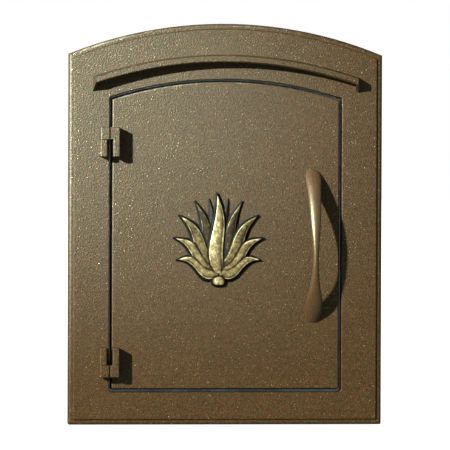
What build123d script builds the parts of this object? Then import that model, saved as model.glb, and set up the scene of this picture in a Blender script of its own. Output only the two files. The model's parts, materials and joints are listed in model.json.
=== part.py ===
from build123d import *

import os
from math import cos, radians, sin, sqrt

# Mailbox for a masonry column: arched cast front, inset cast door on two pin hinges, and a sheet-steel
# compartment behind. Millimetres: +X right, +Y into the wall, +Z up. The origin is the bottom edge of the
# front plate, on its centre line and in the wall plane. A "lift" is a distance out of that plane (-Y).

# Front plate: outline, edge moulding and the shell behind it
PLATE_WIDTH = 305.0
PLATE_HEIGHT = 389.0
PLATE_ARCH = 404.0
PLATE_CORNER = 1.5
LAND_LIFT = 13.0
FIELD_LIFT = 15.0
EDGE_ROUND = 3.0
LAND_WIDTH = 1.7
FIELD_CHAMFER = 1.3
PLATE_SKIN = 4.5
RIM_WALL = 5.0
JAMB_WALL = 4.0
PLATE_RIBS_Z = (100.0, 220.0)
RING_BOSS_RADIUS = 4.5
RING_SCREW_DEPTH = 8.5
RIB_SET_BACK = 2.0

# Door opening, and the door that lies flush in it
OPENING_HALF = 113.0
OPENING_BOTTOM = 31.5
OPENING_TOP = 335.2
OPENING_ARCH = 362.0
OPENING_CORNER = 3.6
OPENING_ROUND = 0.9
DOOR_GAP = 2.7
DOOR_BOTTOM_GAP = 3.6
DOOR_BACK = 4.2
DOOR_SKIN = 4.0
DOOR_RIM = 4.5
DOOR_ROUND = 1.2
DOOR_CORNER = 1.6
RIB = 3.0
DOOR_RIBS_Z = (90.0, 256.0)
DOOR_RIB_X = 45.0
DOOR_RIB_SET_BACK = 1.5
HANDLE_PAD_RADIUS = 8.0
HANDLE_PAD = 1.5
MERGE = 0.5

# Compartment: folded sheet behind the front plate
BOX_HALF = 107.0
BOX_FLOOR = 41.0
BOX_CEILING = 308.0
BOX_DEPTH = 381.0
SHEET = 1.2
BEND = 2.0
FLANGE = 12.0
RING_SHEET = 1.5
RING_HALF = 133.0
RING_BOTTOM = 9.0
RING_TOP = 354.0
RING_CORNER = 8.0
CORNER_NOTCH = 12.0
LAP_CLEAR = 0.05
PRESSED_INSET = 60.0
PRESSED_CORNER = 12.0
PRESSED_DEPTH = 1.5

# Hinges: a lug on the plate, an arm on the door, a pin and a thrust washer
PIN_X = -119.0
PIN_LIFT = FIELD_LIFT + 8.0
PIN_RADIUS = 2.0
PIN_STOP = 2.5
KNUCKLE_HALF = 3.7
KNUCKLE_TOP = 28.2
KNUCKLE_CLEAR = 1.5
KNUCKLE_ROUND = 2.0
KNUCKLE_END = -114.0
KNUCKLE_STEP = 1.8
BLOCK_TOP = 29.4
BLOCK_WIDTH = 6.8
BLOCK_ROUND = 1.4
LUG_ROUND = 1.6
PIN_CLEAR = 0.05
PRESSED_IN = 0.02
PIN_END = 0.4
LUG_SCREW_DEPTH = 4.5
ARM_SCREW_DEPTH = 7.0
HINGE_ROUND = 0.6
HINGE_HEIGHT = 28.6
ARM_HEIGHT = 11.6
HINGE_SLOT = 0.6
WASHER_SHEET = 0.5
UPPER_HINGE_TOP = 288.0
LOWER_HINGE_BOTTOM = 46.6
LUG_SCREW_X = PIN_X - 0.9
LUG_SCREW_UP = (4.0, 12.4)
ARM_SCREW_UP = (6.5, 22.1)

# Drip hood over the door
HOOD_TOP = 359.0
HOOD_ARCH = 398.0
HOOD_DEPTH = 14.0
HOOD_FALL = 1.8
HOOD_LIP = 7.2
HOOD_HEIGHT = 14.0
HOOD_HALF = 129.4
HOOD_DRAFT = 2.2
HOOD_ROUND = 0.9
HOOD_WALL = 2.2
HOOD_ROOF = 2.6
HOOD_WEB = 2.6
HOOD_SWEEP = 50.0
HOOD_SCREW_X = (-90.0, 0.0, 90.0)
HOOD_SCREW_DROP = 3.9
HOOD_SCREW_DEPTH = 7.0
HOOD_BOSS_RADIUS = 3.1

# Pull handle: a bow between two feet, on 128 mm centres
HANDLE_X = 85.0
HANDLE_Z = 173.3
HANDLE_CENTRES = 128.0
HANDLE_BOW = 97.8
HANDLE_RISE = 28.6
HANDLE_SCREW_DEPTH = 5.5
# Each station: height above the handle's middle, width across, thickness through
HANDLE_STATIONS = (
    (-72.5, 12.6, 8.0),
    (-65.0, 15.8, 8.4),
    (-57.0, 16.7, 7.8),
    (-48.0, 14.4, 7.0),
    (-36.3, 9.4, 6.2),
    (-24.6, 6.8, 5.8),
    (-12.0, 5.6, 5.6),
    (10.3, 8.0, 5.7),
    (33.7, 11.0, 6.2),
    (46.3, 12.4, 6.8),
    (57.0, 14.2, 7.6),
    (65.0, 15.4, 8.2),
    (72.5, 13.0, 8.0),
)

# Ornament: a generic agave rosette of mirrored leaves on a stub, held by three studs and push nuts.
# Each pair of leaves: lean from upright (degrees), length, half width, bow outwards, lift of its face
ORNAMENT_X = -7.0
ORNAMENT_ROOT = 149.5
MIDDLE_LEAF = (77.0, 9.2, 3.0, 20.6)
LEAF_PAIRS = (
    (10.0, 71.5, 5.8, 1.5, 17.6),
    (20.0, 73.0, 7.8, 4.0, 19.2),
    (33.5, 71.0, 7.6, 6.0, 18.4),
    (52.0, 56.5, 6.6, 6.0, 19.6),
    (78.5, 42.0, 5.8, 5.5, 20.2),
)
# A leaf's width along it: (share of the length, share of the half width)
LEAF_BELLY = ((0.02, 0.35), (0.28, 0.92), (0.58, 0.94), (1.0, 0.0))
STUB_RADIUS = 7.4
STUB_DROP = 8.8
STUB_HEIGHT = 5.6
STUD_RADIUS = 1.5
STUD_DEPTH = 8.5
STUDS = ((-7.0, 143.0), (-19.0, 184.0), (5.0, 184.0))
PUSH_NUT_RADIUS = 4.5
PUSH_NUT_SHEET = 0.8
PUSH_NUT_COLLAR = 2.6
PUSH_NUT_HEIGHT = 1.8

# Magnetic catch on the compartment's side, and its strike on the door
CATCH_Z = 173.3
CATCH_FACE = 1.0
CATCH_HEIGHT = 46.0
CATCH_WIDTH = 14.0
CATCH_DEPTH = 22.0
CATCH_ROUND = 1.5
CATCH_SCREW_IN = 5.0
MAGNET_HEIGHT = 24.0
MAGNET_WIDTH = 5.0
MAGNET_DEPTH = 12.5
MAGNET_SET_BACK = 1.0
POLE_SHEET = 1.5
POLE_OUT = 3.3
POLE_DEPTH = 16.0
POLE_GAP = 0.15
SLOT_WIDTH = 8.4
SLOT_HEIGHT = 24.4
SLOT_DEPTH = 14.0
STRIKE_LIFT = 1.6
STRIKE_SHEET = 1.5
STRIKE_MARGIN = 1.5
STRIKE_CORNER = 2.0
STRIKE_SEAT_MARGIN = 1.0
SINK = 1.4
SINK_ANGLE = 45
STRIKE_HEAD_RADIUS = 3.2
STRIKE_HEAD_DROP = 0.1
STRIKE_HEAD = 1.1
STRIKE_SCREW_LENGTH = 7.0
STRIKE_SCREW_START = 0.5
STRIKE_DRIVE_LONG = 3.4
STRIKE_DRIVE_WIDE = 0.7

# Fasteners
SCREW_RADIUS = 2.0
SCREW_CLEAR = 0.2
HEAD_RADIUS = 4.0
HEAD_HEIGHT = 2.4
HEAD_ROUND = 0.6
DRIVE_LONG = 1.05
DRIVE_WIDE = 0.22
SMALL_SCREW_RADIUS = 1.5
SMALL_HEAD_RADIUS = 2.7
SMALL_HEAD_HEIGHT = 1.9
CASTING_SCREW = 11.0
LUG_SCREW = 8.5
ARM_SCREW = 13.5
RING_SCREW = 9.0
WASHER_RADIUS = 4.6
WASHER_HOLE = 2.15
WASHER_THICK = 0.8
NUT_ACROSS = 7.0
NUT_THICK = 3.2
RIVET_RADIUS = 1.6
RIVET_HEAD_RADIUS = 3.0
RIVET_HEAD = 1.1
RIVET_HEAD_CHAMFER = 0.8
RIVET_TAIL_RADIUS = 2.3
RIVET_TAIL = 0.8
RIVET_TO_ROOF = 6.0
RIVET_TO_BACK = 7.0
ROOF_RIVET_Y = (40.0, 140.0, 240.0, 340.0)
BACK_RIVET_Z = (70.0, 150.0, 230.0)
BACK_RIVET_X = (-60.0, 60.0)
RING_SCREWS = (
    (-125.0, 90.0), (-125.0, 190.0), (-125.0, 300.0),
    (125.0, 90.0), (125.0, 190.0), (125.0, 300.0),
    (-60.0, 18.0), (60.0, 18.0), (-45.0, 346.0), (45.0, 346.0),
)
ANCHOR_SPACING_X = 150.0
ANCHOR_SPACING_Y = 240.0
ANCHOR_Y = 190.0
ANCHOR_RADIUS = 3.5
DRAIN_X = 80.0
DRAIN_Y = 24.0
DRAIN_RADIUS = 3.0

# Door seal
SEAL_OUTSET = 1.4
SEAL_INSET = 2.9
SEAL_THICK = 2.4

# Worked out from the above
DOOR_HALF = OPENING_HALF - DOOR_GAP
DOOR_BOTTOM = OPENING_BOTTOM + DOOR_BOTTOM_GAP
DOOR_TOP = OPENING_TOP - DOOR_GAP
DOOR_INSIDE = FIELD_LIFT - DOOR_SKIN
PLATE_INSIDE = FIELD_LIFT - PLATE_SKIN
BOX_MIDDLE = (BOX_FLOOR + BOX_CEILING) / 2
BOX_OUTER = BOX_HALF + 2 * SHEET + LAP_CLEAR
LAP_LOW = BOX_FLOOR - 2 * SHEET - LAP_CLEAR
LAP_HIGH = BOX_CEILING + 2 * SHEET + LAP_CLEAR
GRIP = 2 * SHEET + LAP_CLEAR
UPPER_HINGE_BOTTOM = UPPER_HINGE_TOP - HINGE_HEIGHT
# Each hinge: name, bottom of the whole, bottom of the arm, bottom of the lug
HINGES = (
    ("upper", UPPER_HINGE_BOTTOM, UPPER_HINGE_TOP - ARM_HEIGHT, UPPER_HINGE_BOTTOM),
    ("lower", LOWER_HINGE_BOTTOM, LOWER_HINGE_BOTTOM, LOWER_HINGE_BOTTOM + ARM_HEIGHT + HINGE_SLOT),
)
LUG_HEIGHT = HINGE_HEIGHT - ARM_HEIGHT - HINGE_SLOT
BLOCK_LEFT = -DOOR_HALF + 0.1
ARM_SCREW_X = BLOCK_LEFT + BLOCK_WIDTH / 2
ARM_SCREW_SEAT = DOOR_BACK + SMALL_HEAD_HEIGHT + 1.4
HANDLE_FEET = [(HANDLE_X, HANDLE_Z + side * HANDLE_CENTRES / 2) for side in (-1, 1)]
CATCH_X = BOX_HALF - CATCH_WIDTH / 2
CATCH_Y = CATCH_FACE + CATCH_DEPTH / 2
CATCH_SCREWS_Z = [CATCH_Z + side * (CATCH_HEIGHT / 2 - CATCH_SCREW_IN) for side in (-1, 1)]
STRIKE_X = CATCH_X - 1.0


def front(lift):
    """The plane at that lift; its x is +X, its y is +Z and it faces the viewer."""
    return Plane.XZ.offset(lift)


def upright(y):
    """A vertical plane at y behind the wall plane, facing the viewer."""
    return Plane.XZ.offset(-y)


def arched(lift, half_width, bottom, top, radius, corner):
    """A face with upright sides, rounded lower corners and an arc for its top."""
    shoulder = top - radius + sqrt(radius**2 - half_width**2)
    with BuildSketch(front(lift)) as face:
        with BuildLine():
            Polyline(
                (-half_width, shoulder), (-half_width, bottom),
                (half_width, bottom), (half_width, shoulder),
            )
            ThreePointArc((half_width, shoulder), (0, top), (-half_width, shoulder))
        make_face()
        fillet(face.vertices().group_by(Axis.Y)[0], corner)
    return face.sketch


def plate_face(lift, inset):
    return arched(
        lift, PLATE_WIDTH / 2 - inset, inset, PLATE_HEIGHT - inset, PLATE_ARCH - inset, PLATE_CORNER,
    )


def opening_face(lift, outset):
    return arched(
        lift, OPENING_HALF + outset, OPENING_BOTTOM - outset, OPENING_TOP + outset,
        OPENING_ARCH + outset, OPENING_CORNER + outset,
    )


def door_face(lift, inset):
    return arched(
        lift, DOOR_HALF - inset, DOOR_BOTTOM + inset, DOOR_TOP - inset,
        OPENING_ARCH - DOOR_GAP - inset, max(DOOR_CORNER - inset, 1.0),
    )


def discs(plane, points, radius):
    """Equal circles on a plane."""
    with BuildSketch(plane) as face:
        with Locations(*points):
            Circle(radius)
    return face.sketch


def block(plane, x, y, width, height):
    """A rectangle about (x, y) on a plane."""
    with BuildSketch(plane) as face:
        with Locations((x, y)):
            Rectangle(width, height)
    return face.sketch


def rounded_block(plane, x, y, width, height, corner):
    with BuildSketch(plane) as face:
        with Locations((x, y)):
            RectangleRounded(width, height, corner)
    return face.sketch


def finish(piece, name):
    piece.part.label = name
    export_step(piece.part, f"parts/{name}.step")


def hood_screw_points():
    """The hood's screws, a set drop below its arc."""
    centre = HOOD_TOP - HOOD_ARCH
    return [(x, centre + sqrt((HOOD_ARCH - HOOD_SCREW_DROP) ** 2 - x**2)) for x in HOOD_SCREW_X]


def lug_screw_points():
    return [(LUG_SCREW_X, lug_bottom + up) for _, _, _, lug_bottom in HINGES for up in LUG_SCREW_UP]


def arm_screw_points():
    return [(ARM_SCREW_X, bottom + up) for _, bottom, _, _ in HINGES for up in ARM_SCREW_UP]


def make_faceplate():
    field_inset = EDGE_ROUND + LAND_WIDTH
    rail = (PLATE_WIDTH / 2 + OPENING_HALF) / 2
    rail_width = PLATE_WIDTH / 2 - OPENING_HALF - JAMB_WALL
    behind = PLATE_INSIDE - MERGE
    with BuildPart() as plate:
        extrude(plate_face(0, 0), amount=LAND_LIFT)
        fillet(plate.faces().sort_by(Axis.Y)[0].edges(), EDGE_ROUND)
        extrude(plate_face(LAND_LIFT - MERGE, field_inset), amount=FIELD_LIFT - LAND_LIFT + MERGE)
        chamfer(plate.faces().sort_by(Axis.Y)[0].edges(), FIELD_CHAMFER)
        extrude(plate_face(0, RIM_WALL), amount=PLATE_INSIDE, mode=Mode.SUBTRACT)
        extrude(opening_face(RING_SHEET, JAMB_WALL), amount=PLATE_INSIDE - RING_SHEET)
        extrude(opening_face(0, 0), amount=FIELD_LIFT, mode=Mode.SUBTRACT)
        fillet(plate.faces().sort_by(Axis.Y)[0].inner_wires()[0].edges(), OPENING_ROUND)
        # Bosses for the ring screws
        extrude(discs(front(RING_SHEET), RING_SCREWS, RING_BOSS_RADIUS), amount=PLATE_INSIDE - RING_SHEET)
        tapped = discs(front(RING_SHEET), RING_SCREWS, SCREW_RADIUS)
        extrude(tapped, amount=RING_SCREW_DEPTH, mode=Mode.SUBTRACT)
        # Stiffening ribs across the hollow side rails
        for side in (-1, 1):
            for z in PLATE_RIBS_Z:
                rib = block(front(RING_SHEET + RIB_SET_BACK), side * rail, z, rail_width, RIB)
                extrude(rib, amount=PLATE_INSIDE - RING_SHEET - RIB_SET_BACK)
        # Holes for the screws of the hood and of the hinge lugs
        for points, radius in (
            (hood_screw_points(), SCREW_RADIUS + SCREW_CLEAR),
            (lug_screw_points(), SMALL_SCREW_RADIUS + SCREW_CLEAR),
        ):
            extrude(discs(front(behind), points, radius), amount=PLATE_SKIN + 2 * MERGE, mode=Mode.SUBTRACT)
    finish(plate, "faceplate")


def make_door():
    ribs = [(2 * DOOR_HALF - DOOR_RIM, RIB, 0, z) for z in DOOR_RIBS_Z]
    upright_rib = DOOR_TOP - DOOR_BOTTOM - DOOR_RIM
    ribs.append((RIB, upright_rib, DOOR_RIB_X, (DOOR_TOP + DOOR_BOTTOM) / 2 - DOOR_RIB_SET_BACK))
    seat_back = STRIKE_LIFT + STRIKE_SHEET
    with BuildPart() as door:
        extrude(door_face(DOOR_BACK, 0), amount=FIELD_LIFT - DOOR_BACK)
        fillet(door.faces().sort_by(Axis.Y)[0].edges(), DOOR_ROUND)
        extrude(door_face(DOOR_BACK, DOOR_RIM), amount=DOOR_INSIDE - DOOR_BACK, mode=Mode.SUBTRACT)
        for width, height, x, z in ribs:
            rib = block(front(DOOR_BACK + DOOR_RIB_SET_BACK), x, z, width, height)
            extrude(rib, amount=DOOR_INSIDE - DOOR_BACK - DOOR_RIB_SET_BACK)
        # Pads behind the handle's feet, and the raised seat for the strike
        pads = discs(front(DOOR_INSIDE - HANDLE_PAD), HANDLE_FEET, HANDLE_PAD_RADIUS)
        extrude(pads, amount=HANDLE_PAD + MERGE)
        seat = rounded_block(
            front(seat_back), STRIKE_X, CATCH_Z,
            CATCH_WIDTH - 2 * STRIKE_SEAT_MARGIN, CATCH_HEIGHT - 6 * STRIKE_SEAT_MARGIN, STRIKE_CORNER,
        )
        extrude(seat, amount=DOOR_INSIDE - seat_back)
        screw_hole = discs(front(STRIKE_LIFT), [(STRIKE_X, CATCH_Z)], SCREW_RADIUS)
        extrude(screw_hole, amount=DOOR_INSIDE - STRIKE_LIFT, mode=Mode.SUBTRACT)
        for points, radius in (
            (HANDLE_FEET, SCREW_RADIUS + SCREW_CLEAR),
            (STUDS, STUD_RADIUS + SCREW_CLEAR),
        ):
            holes = discs(front(DOOR_INSIDE - 2 * HANDLE_PAD), points, radius)
            extrude(holes, amount=DOOR_SKIN + 3 * HANDLE_PAD, mode=Mode.SUBTRACT)
        # Counterbored holes for the hinge arms' screws
        for radius, depth in (
            (SMALL_HEAD_RADIUS + SCREW_CLEAR, ARM_SCREW_SEAT - DOOR_BACK),
            (SMALL_SCREW_RADIUS + SCREW_CLEAR, FIELD_LIFT - DOOR_BACK),
        ):
            extrude(discs(front(DOOR_BACK), arm_screw_points(), radius), amount=depth, mode=Mode.SUBTRACT)
    finish(door, "door")


def make_hinge_arm(name, bottom, arm_bottom):
    """A block on the door's edge, and a knuckle that reaches over the gap to the pin."""
    left = PIN_X - KNUCKLE_HALF
    under = -FIELD_LIFT - KNUCKLE_CLEAR
    step = -KNUCKLE_TOP + KNUCKLE_STEP
    with BuildPart() as arm:
        with BuildSketch(Plane.XY.offset(bottom)) as base:
            with Locations((BLOCK_LEFT + BLOCK_WIDTH / 2, -(FIELD_LIFT + BLOCK_TOP) / 2)):
                Rectangle(BLOCK_WIDTH, BLOCK_TOP - FIELD_LIFT)
            fillet(base.vertices().group_by(Axis.Y)[0], BLOCK_ROUND)
        extrude(amount=HINGE_HEIGHT)
        with BuildSketch(Plane.XY.offset(arm_bottom)) as reach:
            with BuildLine():
                Polyline(
                    (BLOCK_LEFT + 2, under), (left, under),
                    (left, -KNUCKLE_TOP), (KNUCKLE_END, -KNUCKLE_TOP),
                    (KNUCKLE_END + 0.8, step), (KNUCKLE_END + 1.3, step),
                    (BLOCK_LEFT, -BLOCK_TOP), (BLOCK_LEFT + 2, -BLOCK_TOP), close=True,
                )
            make_face()
            fillet(reach.vertices().group_by(Axis.X)[0], KNUCKLE_ROUND)
        extrude(amount=ARM_HEIGHT)
        outer_ends = arm.faces().filter_by(Axis.Z).sort_by(Axis.Z)
        for face in (outer_ends[0], outer_ends[-1]):
            edges = [edge for edge in face.edges() if edge.center().Y < under - 1]
            chamfer(edges, HINGE_ROUND)
        bore = discs(Plane.XY.offset(arm_bottom), [(PIN_X, -PIN_LIFT)], PIN_RADIUS + PIN_CLEAR)
        extrude(bore, amount=ARM_HEIGHT, mode=Mode.SUBTRACT)
        screws = [(ARM_SCREW_X, bottom + up) for up in ARM_SCREW_UP]
        tapped = discs(front(FIELD_LIFT), screws, SMALL_SCREW_RADIUS + PRESSED_IN)
        extrude(tapped, amount=ARM_SCREW_DEPTH, mode=Mode.SUBTRACT)
    finish(arm, f"{name}_hinge_arm")


def make_hinge_lug(name, lug_bottom):
    """A block on the plate, bored from the arm's side so that the pin stops in it."""
    stopped = PIN_STOP if name == "upper" else 0
    with BuildPart() as lug:
        with BuildSketch(Plane.XY.offset(lug_bottom)) as outline:
            with Locations((PIN_X, -(FIELD_LIFT + KNUCKLE_TOP) / 2)):
                Rectangle(2 * KNUCKLE_HALF, KNUCKLE_TOP - FIELD_LIFT)
            fillet(outline.vertices().group_by(Axis.Y)[0], LUG_ROUND)
        extrude(amount=LUG_HEIGHT)
        free_end = 0 if name == "upper" else -1
        end = lug.faces().filter_by(Axis.Z).sort_by(Axis.Z)[free_end]
        chamfer([edge for edge in end.edges() if edge.center().Y < -FIELD_LIFT - 1], HINGE_ROUND)
        bore = discs(Plane.XY.offset(lug_bottom + stopped), [(PIN_X, -PIN_LIFT)], PIN_RADIUS + PRESSED_IN)
        extrude(bore, amount=LUG_HEIGHT - PIN_STOP, mode=Mode.SUBTRACT)
        screws = [(LUG_SCREW_X, lug_bottom + up) for up in LUG_SCREW_UP]
        tapped = discs(front(FIELD_LIFT), screws, SMALL_SCREW_RADIUS + PRESSED_IN)
        extrude(tapped, amount=LUG_SCREW_DEPTH, mode=Mode.SUBTRACT)
    finish(lug, f"{name}_hinge_lug")


def make_hinges():
    pin_place = [(PIN_X, -PIN_LIFT)]
    for name, bottom, arm_bottom, lug_bottom in HINGES:
        upper = name == "upper"
        make_hinge_arm(name, bottom, arm_bottom)
        make_hinge_lug(name, lug_bottom)
        slot = arm_bottom - HINGE_SLOT if upper else arm_bottom + ARM_HEIGHT
        start = bottom + PIN_STOP + PIN_END if upper else bottom - PIN_END
        with BuildPart() as pin:
            extrude(discs(Plane.XY.offset(start), pin_place, PIN_RADIUS), amount=HINGE_HEIGHT - PIN_STOP)
            chamfer(pin.edges().filter_by(GeomType.CIRCLE), PIN_END)
        finish(pin, f"{name}_hinge_pin")
        base = Plane.XY.offset(slot + (HINGE_SLOT - WASHER_SHEET) / 2)
        with BuildPart() as washer:
            extrude(discs(base, pin_place, KNUCKLE_HALF - 0.2), amount=WASHER_SHEET)
            extrude(discs(base, pin_place, PIN_RADIUS + PIN_CLEAR), amount=WASHER_SHEET, mode=Mode.SUBTRACT)
        finish(washer, f"{name}_hinge_washer")


def hood_wedge(inset, nose):
    """The hood's plan: a strip whose ends draw in towards the nose."""
    half = HOOD_HALF - inset
    with BuildSketch(Plane.XY.offset(HOOD_TOP - 60)) as plan:
        with BuildLine():
            Polyline(
                (-half, -FIELD_LIFT), (half, -FIELD_LIFT),
                (half - HOOD_DRAFT, -nose), (-half + HOOD_DRAFT, -nose), close=True,
            )
        make_face()
    return plan.sketch


def make_hood():
    """A sloping roof and a lip, swept about the arc's centre; hollow beneath, with closed ends and bosses."""
    centre = HOOD_TOP - HOOD_ARCH
    nose = FIELD_LIFT + HOOD_DEPTH
    inside = -nose + HOOD_WALL
    below = HOOD_ARCH - HOOD_HEIGHT - MERGE
    start = Plane(origin=(0, 0, centre), x_dir=(0, 1, 0), z_dir=(1, 0, 0)).rotated((0, -HOOD_SWEEP / 2, 0))
    axis = Axis((0, 0, centre), (0, 1, 0))
    with BuildPart() as hollow:
        with BuildSketch(start):
            with BuildLine():
                Polyline(
                    (-FIELD_LIFT, HOOD_ARCH - HOOD_ROOF), (inside, HOOD_ARCH - HOOD_FALL - HOOD_ROOF),
                    (inside, below), (-FIELD_LIFT, below), close=True,
                )
            make_face()
        revolve(axis=axis, revolution_arc=HOOD_SWEEP)
        extrude(hood_wedge(HOOD_WEB, nose), amount=80, mode=Mode.INTERSECT)
    with BuildPart() as hood:
        with BuildSketch(start) as section:
            with BuildLine():
                Polyline(
                    (-FIELD_LIFT, HOOD_ARCH), (-nose, HOOD_ARCH - HOOD_FALL),
                    (-nose, HOOD_ARCH - HOOD_LIP), (-FIELD_LIFT, HOOD_ARCH - HOOD_HEIGHT), close=True,
                )
            make_face()
            fillet(section.vertices().group_by(Axis.X)[0], HOOD_ROUND)
        revolve(axis=axis, revolution_arc=HOOD_SWEEP)
        extrude(hood_wedge(0, nose), amount=80, mode=Mode.INTERSECT)
        add(hollow.part, mode=Mode.SUBTRACT)
        bosses = discs(front(FIELD_LIFT), hood_screw_points(), HOOD_BOSS_RADIUS)
        extrude(bosses, amount=HOOD_DEPTH - HOOD_WALL / 2)
        tapped = discs(front(FIELD_LIFT), hood_screw_points(), SCREW_RADIUS + PRESSED_IN)
        extrude(tapped, amount=HOOD_SCREW_DEPTH, mode=Mode.SUBTRACT)
    finish(hood, "drip_hood")


def make_handle():
    """Ellipses set square to a circular bow, lofted, then cut flat where the feet meet the door."""
    centre_lift = FIELD_LIFT + HANDLE_RISE - HANDLE_BOW
    sections = []
    for up, width, thick in HANDLE_STATIONS:
        lean = up / HANDLE_BOW
        out = sqrt(1 - lean**2)
        place = Plane(
            origin=(HANDLE_X, -(centre_lift + HANDLE_BOW * out), HANDLE_Z + up),
            x_dir=(1, 0, 0),
            z_dir=(0, lean, out),
        )
        with BuildSketch(place) as section:
            Ellipse(width / 2, thick / 2)
        sections.append(section.sketch)
    with BuildPart() as handle:
        loft(sections)
        split(bisect_by=front(FIELD_LIFT), keep=Keep.TOP)
        tapped = discs(front(FIELD_LIFT), HANDLE_FEET, SCREW_RADIUS + PRESSED_IN)
        extrude(tapped, amount=HANDLE_SCREW_DEPTH, mode=Mode.SUBTRACT)
    finish(handle, "pull_handle")


def leaf_outline(lean, length, half_width, bow):
    """One leaf's two edges, from root to tip, each side of a bowed spine."""
    along = (sin(radians(lean)), cos(radians(lean)))
    across = (along[1], -along[0])

    def at(share, aside):
        offset = bow * 4 * share * (1 - share) + aside
        return (
            ORNAMENT_X + along[0] * length * share + across[0] * offset,
            ORNAMENT_ROOT + along[1] * length * share + across[1] * offset,
        )

    return [[at(share, side * belly) for share, belly in LEAF_BELLY] for side in (-half_width, half_width)]


def make_ornament():
    leaves = [(0.0, *MIDDLE_LEAF)]
    for lean, length, half_width, bow, lift in LEAF_PAIRS:
        leaves += [(side * lean, length, half_width, -side * bow, lift) for side in (-1, 1)]
    with BuildPart() as ornament:
        for lean, length, half_width, bow, lift in leaves:
            left, right = leaf_outline(lean, length, half_width, bow)
            with BuildSketch(front(FIELD_LIFT)):
                with BuildLine():
                    Spline(*left)
                    Spline(*right)
                    Line(left[0], right[0])
                make_face()
            extrude(amount=lift - FIELD_LIFT)
        stub_z = ORNAMENT_ROOT - STUB_DROP
        extrude(discs(front(FIELD_LIFT), [(ORNAMENT_X, stub_z)], STUB_RADIUS), amount=STUB_HEIGHT)
        neck = block(front(FIELD_LIFT), ORNAMENT_X, stub_z + STUB_DROP / 2, 2 * STUB_RADIUS, STUB_DROP)
        extrude(neck, amount=STUB_HEIGHT)
        extrude(discs(front(FIELD_LIFT + MERGE), STUDS, STUD_RADIUS), amount=-STUD_DEPTH)
    finish(ornament, "agave_ornament")
    with BuildPart() as nuts:
        extrude(discs(front(DOOR_INSIDE), STUDS, PUSH_NUT_RADIUS), amount=-PUSH_NUT_SHEET)
        extrude(discs(front(DOOR_INSIDE), STUDS, PUSH_NUT_COLLAR), amount=-PUSH_NUT_HEIGHT)
        holes = discs(front(DOOR_INSIDE), STUDS, STUD_RADIUS + PRESSED_IN)
        extrude(holes, amount=-PUSH_NUT_HEIGHT, mode=Mode.SUBTRACT)
    finish(nuts, "ornament_push_nuts")


def box_profile(y, outset, top):
    """Floor and two sides of the compartment, as a rounded block up to the top."""
    with BuildSketch(upright(y)) as face:
        with Locations((0, (BOX_FLOOR - outset + top) / 2)):
            Rectangle(2 * (BOX_HALF + outset), top - BOX_FLOOR + outset)
        fillet(face.vertices().group_by(Axis.Y)[0], BEND + outset)
    return face.sketch


def side_holes(points, radius):
    """Round holes for both side walls; points are (y, z)."""
    return discs(Plane.YZ.offset(-BOX_HALF - 10), points, radius)


def roof_rivet_points():
    return [(y, BOX_CEILING - RIVET_TO_ROOF) for y in ROOF_RIVET_Y]


def back_rivet_points():
    return [(BOX_DEPTH - RIVET_TO_BACK, z) for z in BACK_RIVET_Z]


def make_shell():
    hole = RIVET_RADIUS + LAP_CLEAR
    under = Plane.XY.offset(BOX_FLOOR - FLANGE / 2)
    anchors = [
        (sx * ANCHOR_SPACING_X / 2, ANCHOR_Y + sy * ANCHOR_SPACING_Y / 2) for sx in (-1, 1) for sy in (-1, 1)
    ]
    drains = [(side * DRAIN_X, DRAIN_Y) for side in (-1, 1)]
    lap = [(x, BOX_DEPTH - RIVET_TO_BACK) for x in BACK_RIVET_X]
    tab_height = BOX_CEILING - BOX_FLOOR - 2 * CORNER_NOTCH
    tab_width = 2 * (BOX_HALF - CORNER_NOTCH)
    with BuildPart() as shell:
        extrude(box_profile(0, SHEET, BOX_CEILING), amount=-BOX_DEPTH + SHEET)
        extrude(box_profile(0, 0, BOX_CEILING + 1), amount=-BOX_DEPTH + SHEET, mode=Mode.SUBTRACT)
        # Turned-out tabs that are welded to the ring
        for side in (-1, 1):
            tab = block(upright(SHEET), side * (BOX_HALF + FLANGE / 2), BOX_MIDDLE, FLANGE, tab_height)
            extrude(tab, amount=SHEET)
        extrude(block(upright(SHEET), 0, BOX_FLOOR - FLANGE / 2, tab_width, FLANGE), amount=SHEET)
        # Anchor, drain and rivet holes
        for points, radius in ((anchors, ANCHOR_RADIUS), (drains, DRAIN_RADIUS), (lap, hole)):
            extrude(discs(under, points, radius), amount=FLANGE, mode=Mode.SUBTRACT)
        rivets = side_holes(roof_rivet_points() + back_rivet_points(), hole)
        extrude(rivets, amount=2 * BOX_HALF + 20, mode=Mode.SUBTRACT)
        catch_points = [(CATCH_Y, z) for z in CATCH_SCREWS_Z]
        catch_holes = discs(Plane.YZ.offset(BOX_HALF - SHEET), catch_points, SCREW_RADIUS + SCREW_CLEAR)
        extrude(catch_holes, amount=3 * SHEET, mode=Mode.SUBTRACT)
    finish(shell, "compartment_shell")


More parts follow.
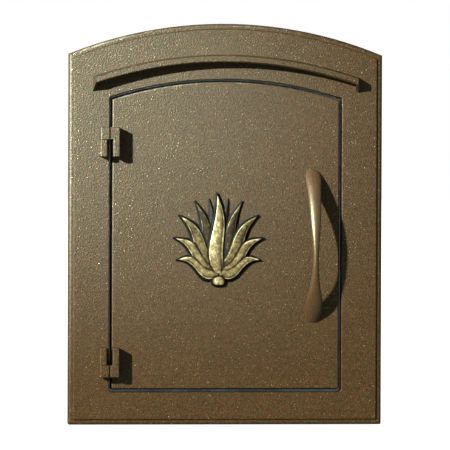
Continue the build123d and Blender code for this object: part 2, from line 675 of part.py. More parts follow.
def make_roof():
    hole = RIVET_RADIUS + LAP_CLEAR
    back = BOX_DEPTH - SHEET
    flange_start = SHEET + BEND
    flange_end = back - FLANGE - 2 * BEND
    with BuildPart() as roof:
        extrude(block(Plane.XY.offset(BOX_CEILING), 0, back / 2, 2 * BOX_OUTER, back), amount=SHEET)
        for side in (-1, 1):
            flange = block(
                Plane.XY.offset(BOX_CEILING - FLANGE), side * (BOX_OUTER - SHEET / 2),
                (flange_start + flange_end) / 2, SHEET, flange_end - flange_start,
            )
            extrude(flange, amount=FLANGE)
        tab_width = 2 * (BOX_HALF - CORNER_NOTCH)
        tab = block(upright(SHEET), 0, BOX_CEILING + (FLANGE + SHEET) / 2, tab_width, FLANGE + SHEET)
        extrude(tab, amount=SHEET)
        extrude(side_holes(roof_rivet_points(), hole), amount=2 * BOX_HALF + 20, mode=Mode.SUBTRACT)
        lap = [(x, BOX_DEPTH - RIVET_TO_BACK) for x in BACK_RIVET_X]
        extrude(discs(Plane.XY.offset(BOX_CEILING - SHEET), lap, hole), amount=3 * SHEET, mode=Mode.SUBTRACT)
    finish(roof, "compartment_roof")


def make_back():
    hole = RIVET_RADIUS + LAP_CLEAR
    middle = (LAP_LOW + LAP_HIGH) / 2
    height = LAP_HIGH - LAP_LOW
    side_flange = BOX_CEILING - BOX_FLOOR - 16
    cross_flange = 2 * BOX_HALF - 10
    with BuildPart() as rear:
        extrude(block(upright(BOX_DEPTH), 0, middle, 2 * BOX_OUTER, height), amount=SHEET)
        # Forward-turned flanges on all four sides, notched at the corners
        for width, tall, x, z in (
            (SHEET, side_flange, -BOX_OUTER + SHEET / 2, middle - 1),
            (SHEET, side_flange, BOX_OUTER - SHEET / 2, middle - 1),
            (cross_flange, SHEET, 0, LAP_LOW + SHEET / 2),
            (cross_flange, SHEET, 0, LAP_HIGH - SHEET / 2),
        ):
            extrude(block(upright(BOX_DEPTH), x, z, width, tall), amount=FLANGE + SHEET)
        # Pressed panel that stiffens the rear
        pressed = rounded_block(
            upright(BOX_DEPTH), 0, middle,
            2 * BOX_HALF - PRESSED_INSET, height - PRESSED_INSET, PRESSED_CORNER,
        )
        extrude(pressed, amount=-PRESSED_DEPTH)
        recess = rounded_block(
            upright(BOX_DEPTH - SHEET), 0, middle,
            2 * (BOX_HALF - PRESSED_DEPTH) - PRESSED_INSET, height - 2 * PRESSED_DEPTH - PRESSED_INSET,
            PRESSED_CORNER - PRESSED_DEPTH,
        )
        extrude(recess, amount=-PRESSED_DEPTH, mode=Mode.SUBTRACT)
        extrude(side_holes(back_rivet_points(), hole), amount=2 * BOX_HALF + 20, mode=Mode.SUBTRACT)
        lap = [(x, BOX_DEPTH - RIVET_TO_BACK) for x in BACK_RIVET_X]
        extrude(discs(Plane.XY.offset(LAP_LOW - 1), lap, hole), amount=height + 2, mode=Mode.SUBTRACT)
    finish(rear, "compartment_back")


def make_ring():
    with BuildPart() as ring:
        with BuildSketch(front(0)):
            with Locations((0, (RING_BOTTOM + RING_TOP) / 2)):
                RectangleRounded(2 * RING_HALF, RING_TOP - RING_BOTTOM, RING_CORNER)
            with Locations((0, BOX_MIDDLE)):
                RectangleRounded(2 * BOX_HALF, BOX_CEILING - BOX_FLOOR, BEND, mode=Mode.SUBTRACT)
            with Locations(*RING_SCREWS):
                Circle(SCREW_RADIUS + SCREW_CLEAR, mode=Mode.SUBTRACT)
        extrude(amount=RING_SHEET)
    finish(ring, "mounting_ring")


def make_seal():
    with BuildPart() as seal:
        extrude(door_face(RING_SHEET, -SEAL_OUTSET), amount=SEAL_THICK)
        extrude(door_face(RING_SHEET, SEAL_INSET), amount=SEAL_THICK, mode=Mode.SUBTRACT)
    finish(seal, "door_seal")


def outward(plane):
    """The axis that points out of a plane."""
    return Axis(plane.origin, plane.z_dir)


def rivet(plane):
    """One set rivet: a domed head on the plane, a shank through both sheets and a small upset end."""
    with BuildPart() as body:
        with BuildSketch(plane):
            Circle(RIVET_HEAD_RADIUS)
        extrude(amount=RIVET_HEAD)
        chamfer(body.faces().sort_by(outward(plane))[-1].edges(), RIVET_HEAD_CHAMFER)
        with BuildSketch(plane):
            Circle(RIVET_RADIUS)
        extrude(amount=-GRIP)
        with BuildSketch(plane.offset(-GRIP)):
            Circle(RIVET_TAIL_RADIUS)
        extrude(amount=-RIVET_TAIL)
    return body.part


def save_group(name, pieces):
    with BuildPart() as group:
        add(pieces)
    finish(group, name)


def make_rivets():
    def both_sides(points):
        return [
            rivet(Plane(origin=(side * BOX_OUTER, y, z), z_dir=(side, 0, 0)))
            for side in (-1, 1)
            for y, z in points
        ]

    save_group("roof_rivets", both_sides(roof_rivet_points()))
    y = BOX_DEPTH - RIVET_TO_BACK
    ends = []
    for x in BACK_RIVET_X:
        ends.append(rivet(Plane(origin=(x, y, BOX_FLOOR - GRIP), z_dir=(0, 0, -1))))
        ends.append(rivet(Plane(origin=(x, y, BOX_CEILING + GRIP), z_dir=(0, 0, 1))))
    save_group("back_rivets", both_sides(back_rivet_points()) + ends)


def pan_screw(plane, length, radius=SCREW_RADIUS, head=HEAD_RADIUS, height=HEAD_HEIGHT):
    """A pan-head screw: head on the plane, shank the other way, with a cross recess."""
    with BuildPart() as body:
        with BuildSketch(plane):
            Circle(head)
        extrude(amount=height)
        fillet(body.faces().sort_by(outward(plane))[-1].edges(), height * HEAD_ROUND)
        with BuildSketch(plane):
            Circle(radius)
        extrude(amount=-length)
        with BuildSketch(plane.offset(height / 2)):
            Rectangle(head * DRIVE_LONG, head * DRIVE_WIDE)
            Rectangle(head * DRIVE_WIDE, head * DRIVE_LONG)
        extrude(amount=height, mode=Mode.SUBTRACT)
    return body.part


def flat_washer(plane):
    with BuildPart() as body:
        with BuildSketch(plane):
            Circle(WASHER_RADIUS)
            Circle(WASHER_HOLE, mode=Mode.SUBTRACT)
        extrude(amount=WASHER_THICK)
    return body.part


def hex_nut(plane):
    with BuildPart() as body:
        with BuildSketch(plane):
            RegularPolygon(NUT_ACROSS / 2, 6, major_radius=False)
            Circle(SCREW_RADIUS + PRESSED_IN, mode=Mode.SUBTRACT)
        extrude(amount=NUT_THICK)
    return body.part


def facing_back(point, lift):
    """A seat at (x, z) whose screw head faces the compartment (+Y)."""
    return Plane(origin=(point[0], -lift, point[1]), x_dir=(1, 0, 0), z_dir=(0, 1, 0))


def make_fasteners():
    small = (SMALL_SCREW_RADIUS, SMALL_HEAD_RADIUS, SMALL_HEAD_HEIGHT)
    seat = DOOR_INSIDE - HANDLE_PAD
    head_seat = seat - WASHER_THICK
    hood = hood_screw_points()
    groups = {
        "handle_washers": [flat_washer(facing_back(at, seat)) for at in HANDLE_FEET],
        "handle_screws": [pan_screw(facing_back(at, head_seat), CASTING_SCREW) for at in HANDLE_FEET],
        "hood_screws": [pan_screw(facing_back(at, PLATE_INSIDE), CASTING_SCREW) for at in hood],
        "hinge_lug_screws": [
            pan_screw(facing_back(at, PLATE_INSIDE), LUG_SCREW, *small) for at in lug_screw_points()
        ],
        "hinge_arm_screws": [
            pan_screw(facing_back(at, ARM_SCREW_SEAT), ARM_SCREW, *small) for at in arm_screw_points()
        ],
        "ring_washers": [flat_washer(facing_back(at, 0)) for at in RING_SCREWS],
        "ring_screws": [pan_screw(facing_back(at, -WASHER_THICK), RING_SCREW) for at in RING_SCREWS],
    }
    for name, pieces in groups.items():
        save_group(name, pieces)


def make_catch():
    inner = BOX_HALF - CATCH_WIDTH
    with BuildPart() as housing:
        base = block(Plane.XY.offset(CATCH_Z - CATCH_HEIGHT / 2), CATCH_X, CATCH_Y, CATCH_WIDTH, CATCH_DEPTH)
        extrude(base, amount=CATCH_HEIGHT)
        fillet(housing.faces().sort_by(Axis.X)[0].edges(), CATCH_ROUND)
        # Slot for the magnet pack, open to the front
        slot = block(upright(CATCH_FACE), CATCH_X, CATCH_Z, SLOT_WIDTH, SLOT_HEIGHT)
        extrude(slot, amount=-SLOT_DEPTH, mode=Mode.SUBTRACT)
        holes = discs(
            Plane.YZ.offset(inner), [(CATCH_Y, z) for z in CATCH_SCREWS_Z], SCREW_RADIUS + SCREW_CLEAR,
        )
        extrude(holes, amount=CATCH_WIDTH, mode=Mode.SUBTRACT)
    finish(housing, "catch_housing")

    with BuildPart() as magnet:
        face = block(upright(CATCH_FACE + MAGNET_SET_BACK), CATCH_X, CATCH_Z, MAGNET_WIDTH, MAGNET_HEIGHT)
        extrude(face, amount=-MAGNET_DEPTH)
    finish(magnet, "catch_magnet")

    plates = []
    for side in (-1, 1):
        with BuildPart() as plate:
            edge = block(
                front(STRIKE_LIFT - POLE_GAP), CATCH_X + side * POLE_OUT, CATCH_Z, POLE_SHEET, MAGNET_HEIGHT,
            )
            extrude(edge, amount=-POLE_DEPTH)
        plates.append(plate.part)
    save_group("catch_pole_plates", plates)

    screws = [
        pan_screw(Plane(origin=(inner, CATCH_Y, z), z_dir=(-1, 0, 0)), CATCH_WIDTH + 6)
        for z in CATCH_SCREWS_Z
    ]
    save_group("catch_screws", screws)
    nuts = [hex_nut(Plane(origin=(BOX_HALF + SHEET, CATCH_Y, z), z_dir=(1, 0, 0))) for z in CATCH_SCREWS_Z]
    save_group("catch_nuts", nuts)


def make_strike():
    """The plate that the magnet holds, and its countersunk screw into the door's seat."""
    at = [(STRIKE_X, CATCH_Z)]
    with BuildPart() as strike:
        outline = rounded_block(
            front(STRIKE_LIFT), STRIKE_X, CATCH_Z,
            CATCH_WIDTH - 2 * STRIKE_MARGIN, CATCH_HEIGHT - 8, STRIKE_CORNER,
        )
        extrude(outline, amount=STRIKE_SHEET)
        hole = discs(front(STRIKE_LIFT), at, SCREW_RADIUS + SCREW_CLEAR)
        extrude(hole, amount=STRIKE_SHEET, mode=Mode.SUBTRACT)
        sink = discs(front(STRIKE_LIFT), at, SCREW_RADIUS + SCREW_CLEAR + SINK)
        extrude(sink, amount=SINK, taper=SINK_ANGLE, mode=Mode.SUBTRACT)
    finish(strike, "strike_plate")

    head = front(STRIKE_LIFT + STRIKE_HEAD_DROP)
    with BuildPart() as screw:
        extrude(discs(head, at, STRIKE_HEAD_RADIUS), amount=STRIKE_HEAD, taper=SINK_ANGLE)
        shank = discs(front(STRIKE_LIFT + STRIKE_SCREW_START), at, SCREW_RADIUS - PRESSED_IN)
        extrude(shank, amount=STRIKE_SCREW_LENGTH)
        for long, wide in ((STRIKE_DRIVE_LONG, STRIKE_DRIVE_WIDE), (STRIKE_DRIVE_WIDE, STRIKE_DRIVE_LONG)):
            extrude(block(head, STRIKE_X, CATCH_Z, long, wide), amount=STRIKE_DRIVE_WIDE, mode=Mode.SUBTRACT)
    finish(screw, "strike_screw")


os.makedirs("parts", exist_ok=True)
make_faceplate()
make_door()
make_hinges()
make_hood()
make_handle()
make_ornament()
make_shell()
make_roof()
make_back()
make_ring()
make_seal()
make_rivets()
make_fasteners()
make_catch()
make_strike()
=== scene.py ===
import json
import math

import bmesh
import bpy
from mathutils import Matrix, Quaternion, Vector


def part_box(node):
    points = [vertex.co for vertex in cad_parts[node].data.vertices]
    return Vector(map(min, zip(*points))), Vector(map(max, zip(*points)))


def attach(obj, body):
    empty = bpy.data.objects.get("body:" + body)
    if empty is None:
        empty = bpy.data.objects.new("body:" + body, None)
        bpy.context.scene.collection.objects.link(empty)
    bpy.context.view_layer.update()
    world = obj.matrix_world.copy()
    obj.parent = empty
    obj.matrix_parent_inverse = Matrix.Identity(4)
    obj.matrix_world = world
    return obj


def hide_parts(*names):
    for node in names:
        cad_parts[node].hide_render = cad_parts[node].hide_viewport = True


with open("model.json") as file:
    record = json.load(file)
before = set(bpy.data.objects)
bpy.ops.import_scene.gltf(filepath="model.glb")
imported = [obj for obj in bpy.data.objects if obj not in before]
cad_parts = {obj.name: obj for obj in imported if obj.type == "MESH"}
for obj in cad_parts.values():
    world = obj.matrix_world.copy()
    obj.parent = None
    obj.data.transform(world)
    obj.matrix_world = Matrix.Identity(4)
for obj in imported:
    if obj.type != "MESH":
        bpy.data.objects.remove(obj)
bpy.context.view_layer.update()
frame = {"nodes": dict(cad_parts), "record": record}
scene = bpy.context.scene
MM = 0.001

# ---------------------------------------------------------------- node helpers


class Shader:
    """A material being wired: short calls for the nodes that the finishes below share."""

    def __init__(self, name):
        self.material = bpy.data.materials.new(name)
        self.material.use_nodes = True
        self.tree = self.material.node_tree
        self.tree.nodes.clear()
        self.output = self.node("ShaderNodeOutputMaterial")
        self.surface = self.node("ShaderNodeBsdfPrincipled")
        self.link(self.surface.outputs["BSDF"], self.output.inputs["Surface"])
        self.place = self.node("ShaderNodeTexCoord").outputs["Object"]

    def node(self, kind, **settings):
        made = self.tree.nodes.new(kind)
        for key, value in settings.items():
            setattr(made, key, value)
        return made

    def link(self, source, target):
        self.tree.links.new(source, target)

    def put(self, target, value):
        if isinstance(value, bpy.types.NodeSocket):
            self.link(value, target)
        else:
            target.default_value = value

    def noise(self, cell_mm, detail=3.0, rough=0.55, stretch=(1, 1, 1), output="Fac"):
        """Noise with features about cell_mm across, longer along an axis where a factor is under 1."""
        spread = self.node("ShaderNodeMapping")
        self.link(self.place, spread.inputs["Vector"])
        spread.inputs["Scale"].default_value = stretch
        made = self.node("ShaderNodeTexNoise")
        self.link(spread.outputs["Vector"], made.inputs["Vector"])
        made.inputs["Scale"].default_value = 1 / (cell_mm * MM)
        made.inputs["Detail"].default_value = detail
        made.inputs["Roughness"].default_value = rough
        return made.outputs[output]

    def cells(self, cell_mm):
        """Random cells: (distance from the cell's middle, its random colour)."""
        made = self.node("ShaderNodeTexVoronoi")
        self.link(self.place, made.inputs["Vector"])
        made.inputs["Scale"].default_value = 1 / (cell_mm * MM)
        return made.outputs["Distance"], made.outputs["Color"]

    def ramp(self, factor, *stops, smooth=False):
        made = self.node("ShaderNodeValToRGB")
        self.link(factor, made.inputs["Fac"])
        made.color_ramp.interpolation = "EASE" if smooth else "LINEAR"
        elements = made.color_ramp.elements
        while len(elements) < len(stops):
            elements.new(0.5)
        for element, (position, colour) in zip(elements, stops):
            element.position = position
            shade = colour if isinstance(colour, tuple) else (colour,) * 3
            element.color = (*shade, 1)
        return made.outputs["Color"]

    def maths(self, operation, first, second=0.0, clamp=False):
        made = self.node("ShaderNodeMath", operation=operation, use_clamp=clamp)
        self.put(made.inputs[0], first)
        self.put(made.inputs[1], second)
        return made.outputs["Value"]

    def mix(self, factor, first, second, blend="MIX"):
        made = self.node("ShaderNodeMix", data_type="RGBA", blend_type=blend)
        self.put(made.inputs["Factor"], factor)
        for socket, value in ((made.inputs[6], first), (made.inputs[7], second)):
            self.put(socket, (*value, 1) if isinstance(value, tuple) else value)
        return made.outputs[2]

    def channel(self, colour, name):
        made = self.node("ShaderNodeSeparateColor")
        self.link(colour, made.inputs["Color"])
        return made.outputs[name]

    def spread(self, factor, low, high):
        """A factor from 0 to 1 taken to low..high."""
        made = self.node("ShaderNodeMapRange")
        self.link(factor, made.inputs["Value"])
        made.inputs["To Min"].default_value = low
        made.inputs["To Max"].default_value = high
        return made.outputs["Result"]

    def bump(self, height, depth_mm, strength=1.0, after=None):
        made = self.node("ShaderNodeBump")
        self.link(height, made.inputs["Height"])
        made.inputs["Distance"].default_value = depth_mm * MM
        made.inputs["Strength"].default_value = strength
        if after is not None:
            self.link(after, made.inputs["Normal"])
        return made.outputs["Normal"]

    def finish(self, colour, metallic, roughness, normal=None, specular=0.5):
        self.put(self.surface.inputs["Base Color"], colour)
        self.put(self.surface.inputs["Metallic"], metallic)
        self.put(self.surface.inputs["Roughness"], roughness)
        self.surface.inputs["Specular IOR Level"].default_value = specular
        if normal is not None:
            self.link(normal, self.surface.inputs["Normal"])
        return self.material


# ------------------------------------------------------------------- finishes


# The bronze coat's two broad tones, the green and red-brown of its grains, and the tint of its gloss
BRONZE_DARK = (0.038, 0.0215, 0.0076)
BRONZE_LIGHT = (0.045, 0.0255, 0.0092)
BRONZE_GREEN = (0.029, 0.0250, 0.0092)
BRONZE_RED = (0.058, 0.0245, 0.0092)
BRONZE_SHEEN = (1.0, 0.88, 0.72, 1)
FLAKE_METAL = 0.5


def bronze_powder_coat(name, shade, grain_depth_mm, grain_contrast, fleck_share, metal, rough, specular):
    """Olive-brown powder coat: green and red-brown grains, sparse gold and rose flakes, a fine pebble."""
    s = Shader(name)
    dark, light, green, red = (
        tuple(channel * shade for channel in tone)
        for tone in (BRONZE_DARK, BRONZE_LIGHT, BRONZE_GREEN, BRONZE_RED)
    )
    broad = s.ramp(s.noise(45, 2), (0.35, dark), (0.65, light))
    tint = s.ramp(s.noise(2.4, 3, 0.65), (0.36, green), (0.64, red))
    colour = s.mix(0.55, broad, tint)
    for cell_mm, share in ((1.2, 1.0), (1.9, 0.35)):
        _, lot = s.cells(cell_mm)
        swing = grain_contrast * share
        grain = s.ramp(s.channel(lot, "Green"), (0.0, 1 - swing), (1.0, 1 + swing))
        colour = s.mix(1.0, colour, grain, "MULTIPLY")
    # Flakes lie in a few of the cells, each with its own brightness and tint
    flake = None
    for cell_mm, part, reach in ((1.1, 0.5, 0.30), (0.75, 1.0, 0.26)):
        distance, lot = s.cells(cell_mm)
        chosen = s.maths("GREATER_THAN", s.channel(lot, "Red"), 1 - part * fleck_share)
        near = s.maths("LESS_THAN", distance, reach)
        here = s.maths("MULTIPLY", chosen, near)
        gilt = s.ramp(
            s.channel(lot, "Green"),
            (0.0, (0.17, 0.10, 0.06)), (0.6, (0.24, 0.19, 0.10)), (1.0, (0.62, 0.55, 0.38)),
        )
        colour = s.mix(here, colour, gilt)
        flake = here if flake is None else s.maths("MAXIMUM", flake, here)
    s.surface.inputs["Specular Tint"].default_value = BRONZE_SHEEN
    metallic = s.spread(flake, metal, max(metal, FLAKE_METAL))
    patchy = s.spread(s.noise(6, 3), rough - 0.04, rough + 0.04)
    gloss = s.maths("ADD", patchy, s.maths("MULTIPLY", flake, -0.1))
    pebble = s.bump(s.noise(1.5, 3, 0.6), grain_depth_mm, 1.0)
    rippled = s.bump(s.noise(7, 2), 0.07, 0.5, pebble)
    return s.finish(colour, metallic, gloss, rippled, specular=specular)


def antique_brass():
    """Brass: bright where hand wear and a painted highlight lie, near black where patina stays and where
    painted shade lies.
    """
    s = Shader("antique_brass")
    # The stored value mixes wear and patina with a painted highlight and painted shade
    worn_and_lit = s.node("ShaderNodeAttribute", attribute_name="wear_and_painted_light").outputs["Fac"]
    brushed = s.noise(0.5, 3, 0.6, (1, 1, 0.25))
    cloudy = s.noise(5.0, 4, 0.7)
    uneven = s.maths("ADD", worn_and_lit, s.spread(brushed, -0.20, 0.20))
    uneven = s.maths("ADD", uneven, s.spread(cloudy, -0.32, 0.24))
    colour = s.ramp(
        uneven,
        (0.22, (0.003, 0.002, 0.001)), (0.44, (0.022, 0.013, 0.003)),
        (0.64, (0.125, 0.090, 0.036)), (0.95, (0.60, 0.50, 0.31)),
    )
    metal = s.ramp(uneven, (0.3, 0.05), (0.7, 0.50))
    rough = s.ramp(uneven, (0.25, 0.62), (0.85, 0.48))
    dimple = s.bump(s.noise(0.8, 3, 0.65), 0.05, 0.7)
    return s.finish(colour, metal, rough, dimple, specular=0.05)


def galvanised_sheet():
    """Zinc spangle on sheet steel: cells of slightly different grey and gloss, with faint rolling lines."""
    s = Shader("galvanised_sheet")
    _, lot = s.cells(9)
    shade = s.ramp(s.channel(lot, "Red"), (0.0, (0.34, 0.355, 0.37)), (1.0, (0.52, 0.54, 0.55)))
    rolled = s.ramp(s.noise(0.6, 2, 0.5, (1, 0.02, 1)), (0.3, 0.9), (0.7, 1.06))
    colour = s.mix(1.0, shade, rolled, "MULTIPLY")
    dulled = s.ramp(s.noise(60, 4), (0.35, 0.88), (0.6, 1.0))
    colour = s.mix(1.0, colour, dulled, "MULTIPLY")
    rough = s.spread(s.channel(lot, "Green"), 0.34, 0.5)
    lines = s.bump(s.noise(0.8, 2, 0.5, (1, 0.05, 1)), 0.02, 0.4)
    return s.finish(colour, 0.92, rough, lines)


def plated(name, light, dark, rough_low, rough_high):
    """Small plated or turned steel: two close tones, faint turning marks and handling wear."""
    s = Shader(name)
    colour = s.ramp(s.noise(2.2, 4, 0.65), (0.35, dark), (0.65, light))
    rough = s.spread(s.noise(0.7, 3), rough_low, rough_high)
    return s.finish(colour, 0.95, rough, s.bump(s.noise(0.25, 2, 0.5), 0.01, 0.5))


def moulded(name, tone, rough, depth_mm, cell_mm):
    """Rubber, plastic or ferrite: a dark tone with a fine moulded grain and a little bloom."""
    s = Shader(name)
    bloom = tuple(channel * 1.7 + 0.012 for channel in tone)
    colour = s.ramp(s.noise(14, 4, 0.6), (0.4, tone), (0.75, bloom))
    gloss = s.spread(s.noise(cell_mm * 3, 3), rough - 0.08, rough + 0.08)
    return s.finish(colour, 0.0, gloss, s.bump(s.noise(cell_mm, 3, 0.6), depth_mm, 0.8))


FINISHES = {
    "bronze_powder_coat": bronze_powder_coat(
        "bronze_powder_coat", shade=1.0, grain_depth_mm=0.50, grain_contrast=0.32,
        fleck_share=0.034, metal=0.10, rough=0.50, specular=0.13,
    ),
    "antique_brass": antique_brass(),
    "galvanised_sheet": galvanised_sheet(),
    "stainless_steel": plated("stainless_steel", (0.60, 0.60, 0.59), (0.44, 0.44, 0.44), 0.2, 0.34),
    "zinc_steel": plated("zinc_steel", (0.62, 0.61, 0.54), (0.42, 0.43, 0.42), 0.26, 0.42),
    "rivet_aluminium": plated("rivet_aluminium", (0.72, 0.72, 0.73), (0.55, 0.55, 0.56), 0.3, 0.44),
    "hinge_washer_polymer": moulded("hinge_washer_polymer", (0.020, 0.020, 0.022), 0.5, 0.01, 0.4),
    "black_rubber": moulded("black_rubber", (0.012, 0.012, 0.012), 0.72, 0.03, 0.5),
    "black_plastic": moulded("black_plastic", (0.018, 0.018, 0.019), 0.45, 0.03, 0.7),
    "ferrite_magnet": moulded("ferrite_magnet", (0.035, 0.034, 0.036), 0.55, 0.02, 0.3),
}

# The same coat on the handle: smoother and glossier from hands, and lighter in colour, which is partly a
# painted highlight
RUBBED_AND_LIT_BRONZE = bronze_powder_coat(
    "rubbed_and_lit_bronze_coat", shade=1.65, grain_depth_mm=0.12, grain_contrast=0.16,
    fleck_share=0.010, metal=0.30, rough=0.42, specular=0.45,
)


def finish_nodes():
    for row in frame["record"]["subparts"]:
        node = frame["nodes"][row["node"]]
        # The pull handle takes the lighter coat, whose colour carries part of a painted highlight
        rubbed_and_lit = row["node"] == "pull_handle"
        node.data.materials.clear()
        node.data.materials.append(RUBBED_AND_LIT_BRONZE if rubbed_and_lit else FINISHES[row["material_slot"]])


finish_nodes()


# ------------------------------------------------------------------- ornament

DOOR_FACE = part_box("door")[0].y
LEAF_STEPS = 48
LEAF_RIBS = 30
# A thin border at the door's face around each leaf
FOOT = 0.9 * MM
FOOT_HEIGHT = 0.7 * MM
# The least half width by which a place across a leaf is divided
THINNEST = 0.2 * MM
VOXEL = 0.36 * MM


def smooth_step(value, low, high):
    share = min(max((value - low) / (high - low), 0.0), 1.0)
    return share * share * (3 - 2 * share)


def leaf_height(v, share, lift, thickness):
    """Height over the door at v, -1 to 1 across a leaf, and at a share of its length."""
    if abs(v) >= 1:
        return FOOT_HEIGHT
    swell = (0.80 + 0.20 * math.sin(math.pi * min(share * 1.2, 1.0))) * (1 - 0.30 * share**3)
    edge = smooth_step(1 - abs(v), 0.0, 0.34)
    rim = math.exp(-(((v - 0.66) / 0.12) ** 2))
    crown = 0.36 + 0.54 * (1 - (v + 0.12) ** 2)
    return FOOT_HEIGHT + (lift - FOOT_HEIGHT) * edge + thickness * edge * swell * (crown + 0.10 * rim)


def leaf(mesh, root, lean, length, half_width, bow, side, thickness, lift):
    """One closed leaf: it swings out, then in, and its tip flares out; one edge has a raised rim."""
    along = Vector((math.sin(lean), 0, math.cos(lean)))
    across = Vector((math.cos(lean), 0, -math.sin(lean)))
    rings = []
    for i in range(LEAF_STEPS + 1):
        share = i / LEAF_STEPS
        width = half_width * 2.15 * max(1 - share, 0.0) ** 0.98 * (0.20 + share) ** 0.62
        reach = width + FOOT
        offset = bow * math.sin(2 * math.pi * share**0.92)
        centre = root + along * (length * share) + across * offset
        ring = []
        for k in range(LEAF_RIBS + 1):
            place = reach * (-1 + 2 * k / LEAF_RIBS)
            height = leaf_height(place / max(width, THINNEST) * side, share, lift, thickness)
            point = centre + across * place
            ring.append(mesh.verts.new((point.x, DOOR_FACE - height, point.z)))
        for place in (reach, -reach):
            point = centre + across * place
            ring.append(mesh.verts.new((point.x, DOOR_FACE, point.z)))
        rings.append(ring)
    count = LEAF_RIBS + 3
    for first, second in zip(rings, rings[1:]):
        for k in range(count):
            mesh.faces.new((first[k], first[(k + 1) % count], second[(k + 1) % count], second[k]))
    mesh.faces.new(rings[0])
    mesh.faces.new(list(reversed(rings[-1])))


def stub(mesh, middle, bottom, relief):
    """A squat rounded boss under the leaves."""
    half_width, half_height = 7.6 * MM, 6.4 * MM
    for point in bmesh.ops.create_uvsphere(mesh, u_segments=48, v_segments=24, radius=1.0)["verts"]:
        x, y, z = (math.copysign(abs(value) ** 0.75, value) for value in point.co)
        point.co = Vector((
            middle + x * half_width, DOOR_FACE + y * relief * 0.82, bottom + half_height * (1.02 + z),
        ))


def blurred(values, near, turns, keep):
    """Values on a mesh, each drawn towards the mean of its neighbours turn after turn."""
    for _ in range(turns):
        values = [
            keep * value + (1 - keep) * sum(values[j] for j in row) / len(row)
            for value, row in zip(values, near)
        ]
    return values


def store_wear_and_painted_light(piece):
    """Stores a brightness for each point: near 1 on crests that hand wear brightens and, as a painted
    highlight, on the tallest leaves; near 0 where patina fills grooves and where painted shade lies on
    flanks and low back leaves.
    """
    mesh = bmesh.new()
    mesh.from_mesh(piece.data)
    mesh.normal_update()
    mesh.verts.ensure_lookup_table()
    near = [[edge.other_vert(point).index for edge in point.link_edges] for point in mesh.verts]
    facing = blurred([-point.normal.y for point in mesh.verts], near, turns=3, keep=0.5)
    height = [DOOR_FACE - point.co.y for point in mesh.verts]
    mesh.free()
    raised = [own - mean for own, mean in zip(height, blurred(height, near, turns=22, keep=0.4))]
    span = sorted(abs(v) for v in raised)[int(len(raised) * 0.85)]
    top = max(height)
    layer = piece.data.attributes.new("wear_and_painted_light", "FLOAT", "POINT")
    for index in range(len(height)):
        # Height brightens a point: a painted highlight on the tallest leaves and painted shade on the low
        # back leaves
        level = height[index] / top
        local = max(-1.0, min(1.0, raised[index] / span))
        shift = local * (0.30 if local > 0 else 0.62)
        rubbed_and_lit = 0.07 + shift + 0.34 * level + 0.27 * level**2
        # Flanks turned from the front and the lowest parts go dark: patina in the grooves, painted shade on
        # the flanks
        clear_of_patina_and_shade = smooth_step(facing[index], 0.80, 0.96) * smooth_step(level, 0.14, 0.34)
        layer.data[index].value = clear_of_patina_and_shade * rubbed_and_lit


def remade(piece, kind, **settings):
    """Applies one modifier to a piece."""
    modifier = piece.modifiers.new(kind.lower(), kind)
    for key, value in settings.items():
        setattr(modifier, key, value)
    bpy.context.view_layer.update()
    data = bpy.data.meshes.new_from_object(piece.evaluated_get(bpy.context.evaluated_depsgraph_get()))
    piece.modifiers.clear()
    piece.data = data
    data.name = piece.name
    return data


def make_ornament():
    """A generic agave rosette: leaves fanned from one root, mirrored about the middle, over a short stub."""
    low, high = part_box("agave_ornament")
    middle = (low.x + high.x) / 2
    root = Vector((middle, 0, low.z + (high.z - low.z) * 0.155))
    relief = DOOR_FACE - low.y
    tip = (high.z - root.z) * 0.985
    # Lean in degrees; length, half width and bow over the tip's reach; lift and thickness over the relief
    pairs = (
        (7.5, 0.93, 0.075, 0.010, 0.10, 0.36),
        (18.5, 0.945, 0.105, 0.034, 0.22, 0.42),
        (35.0, 0.88, 0.122, 0.052, 0.34, 0.46),
        (53.0, 0.72, 0.108, 0.056, 0.42, 0.42),
        (74.0, 0.56, 0.098, 0.052, 0.46, 0.40),
    )
    mesh = bmesh.new()
    for lean, length, width, bow, lift, thickness in pairs:
        for side in (-1, 1):
            leaf(
                mesh, root, math.radians(side * lean), tip * length, tip * width, side * tip * bow,
                side, relief * thickness, relief * lift,
            )
    leaf(mesh, root, math.radians(-1.5), tip, tip * 0.128, tip * -0.030, 1, relief * 0.52, relief * 0.42)
    stub(mesh, middle, low.z, relief)
    bmesh.ops.recalc_face_normals(mesh, faces=mesh.faces)
    data = bpy.data.meshes.new("agave_relief")
    mesh.to_mesh(data)
    mesh.free()
    piece = bpy.data.objects.new("agave_relief", data)
    scene.collection.objects.link(piece)
    remade(piece, "REMESH", mode="VOXEL", voxel_size=VOXEL)
    # Nothing reaches behind the door's face
    for point in piece.data.vertices:
        point.co.y = min(point.co.y, DOOR_FACE)
    cast = remade(piece, "SMOOTH", factor=0.5, iterations=2)
    for face in cast.polygons:
        face.use_smooth = True
    store_wear_and_painted_light(piece)
    cast.materials.append(FINISHES["antique_brass"])
    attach(piece, "door")
    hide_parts("agave_ornament")


make_ornament()

# ------------------------------------------------------- stage, light, camera


def aim(piece, towards):
    piece.rotation_mode = "QUATERNION"
    piece.rotation_quaternion = (towards - piece.location).to_track_quat("-Z", "Y")


PLATE_LOW, PLATE_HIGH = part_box("faceplate")
PLATE_MIDDLE = Vector((0, PLATE_LOW.y, (PLATE_LOW.z + PLATE_HIGH.z) / 2))
FLOOR_HALF = 60
FLOOR_DROP = 1.5 * MM
# The key light and the beam share a place at the upper left, far enough off for nearly parallel shadows
LAMP_PLACE = PLATE_MIDDLE + Vector((-2.8, -2.8, 1.38))
BEAM_TARGET = Vector((PLATE_LOW.x - 0.05, PLATE_LOW.y, PLATE_HIGH.z - 0.025))
CAMERA_AZIMUTH = math.radians(-4.7)
CAMERA_ELEVATION = math.radians(0.6)
CAMERA_ROLL = math.radians(0.2)
CAMERA_DISTANCE = 3.6
CAMERA_TARGET = PLATE_MIDDLE + Vector((-0.8 * MM, 0, -0.68 * MM))


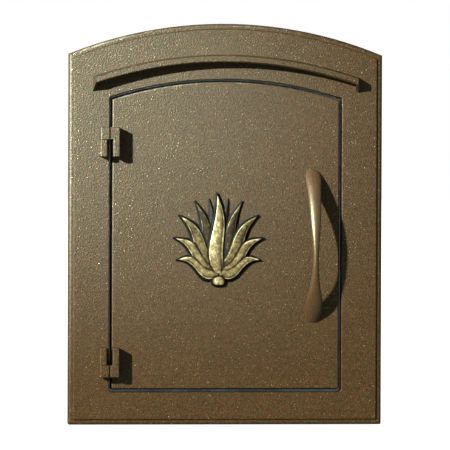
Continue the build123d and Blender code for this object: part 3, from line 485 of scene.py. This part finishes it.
def make_floor():
    near, far = -FLOOR_HALF, FLOOR_HALF
    data = bpy.data.meshes.new("floor")
    data.from_pydata([(near, near, 0), (far, near, 0), (far, far, 0), (near, far, 0)], [], [(0, 1, 2, 3)])
    floor = bpy.data.objects.new("floor", data)
    floor.location.z = PLATE_LOW.z - FLOOR_DROP
    scene.collection.objects.link(floor)
    s = Shader("pale_floor")
    colour = s.ramp(s.noise(400, 3), (0.3, (0.90, 0.90, 0.90)), (0.7, (0.93, 0.93, 0.93)))
    data.materials.append(s.finish(colour, 0.0, 0.9, specular=0.1))
    floor.visible_diffuse = False
    floor.visible_glossy = False
    return floor


def group(name, pieces):
    made = bpy.data.collections.new(name)
    for piece in pieces:
        made.objects.link(piece)
    return made


def lamp(name, kind, energy, place, towards, receivers, **settings):
    """A light at a place, aimed at a point, which only its receivers take."""
    data = bpy.data.lights.new(name, kind)
    data.energy = energy
    for key, value in settings.items():
        setattr(data, key, value)
    light = bpy.data.objects.new(name, data)
    light.location = place
    scene.collection.objects.link(light)
    aim(light, towards)
    light.light_linking.receiver_collection = receivers
    return light


def make_lights(floor):
    not_floor = group("not_floor", [floor])
    not_floor.collection_objects[0].light_linking.link_state = "EXCLUDE"
    lamp(
        "key", "AREA", 585, LAMP_PLACE, PLATE_MIDDLE, not_floor,
        shape="DISK", size=0.20, color=(1.0, 0.92, 0.76),
    )
    # A cool beam lays a sheen on the coat's upper left and fades out towards the lower right
    coated = [
        frame["nodes"][row["node"]]
        for row in frame["record"]["subparts"]
        if row["material_slot"] == "bronze_powder_coat"
    ]
    sheened = group("coated", [*coated, bpy.data.objects["agave_relief"]])
    beam = lamp(
        "beam", "SPOT", 25500, LAMP_PLACE, BEAM_TARGET, sheened,
        color=(0.70, 0.97, 1.0), spot_size=math.radians(7.7), spot_blend=1.0, shadow_soft_size=0.10,
    )
    beam.visible_diffuse = False
    # Light that only the floor takes, so that the ground is as white as paper
    lamp(
        "floor_wash", "SUN", 3.5, Vector((0, 0, 1)), Vector(), group("floor_only", [floor]),
        angle=math.radians(60), use_shadow=False,
    )


def make_sky():
    """A dim, faintly blue sky, where the camera itself sees plain white."""
    world = bpy.data.worlds.new("studio")
    world.use_nodes = True
    tree = world.node_tree
    sky = tree.nodes["Background"]
    sky.inputs["Color"].default_value = (0.70, 0.89, 0.98, 1)
    sky.inputs["Strength"].default_value = 0.48
    paper = tree.nodes.new("ShaderNodeBackground")
    paper.inputs["Color"].default_value = (1, 1, 1, 1)
    seen = tree.nodes.new("ShaderNodeMixShader")
    tree.links.new(tree.nodes.new("ShaderNodeLightPath").outputs["Is Camera Ray"], seen.inputs["Fac"])
    tree.links.new(sky.outputs["Background"], seen.inputs[1])
    tree.links.new(paper.outputs["Background"], seen.inputs[2])
    tree.links.new(seen.outputs["Shader"], tree.nodes["World Output"].inputs["Surface"])
    scene.world = world


def make_camera():
    data = bpy.data.cameras.new("camera")
    data.sensor_width = 36
    data.lens = 297.1
    data.clip_end = 200
    camera = bpy.data.objects.new("camera", data)
    level = math.cos(CAMERA_ELEVATION)
    back = Vector((
        math.sin(CAMERA_AZIMUTH) * level, -math.cos(CAMERA_AZIMUTH) * level, math.sin(CAMERA_ELEVATION),
    ))
    camera.location = CAMERA_TARGET + back * CAMERA_DISTANCE
    aim(camera, CAMERA_TARGET)
    camera.rotation_quaternion = camera.rotation_quaternion @ Quaternion((0, 0, 1), CAMERA_ROLL)
    scene.collection.objects.link(camera)
    scene.camera = camera


scene.view_settings.view_transform = "Standard"
make_lights(make_floor())
make_sky()
make_camera()
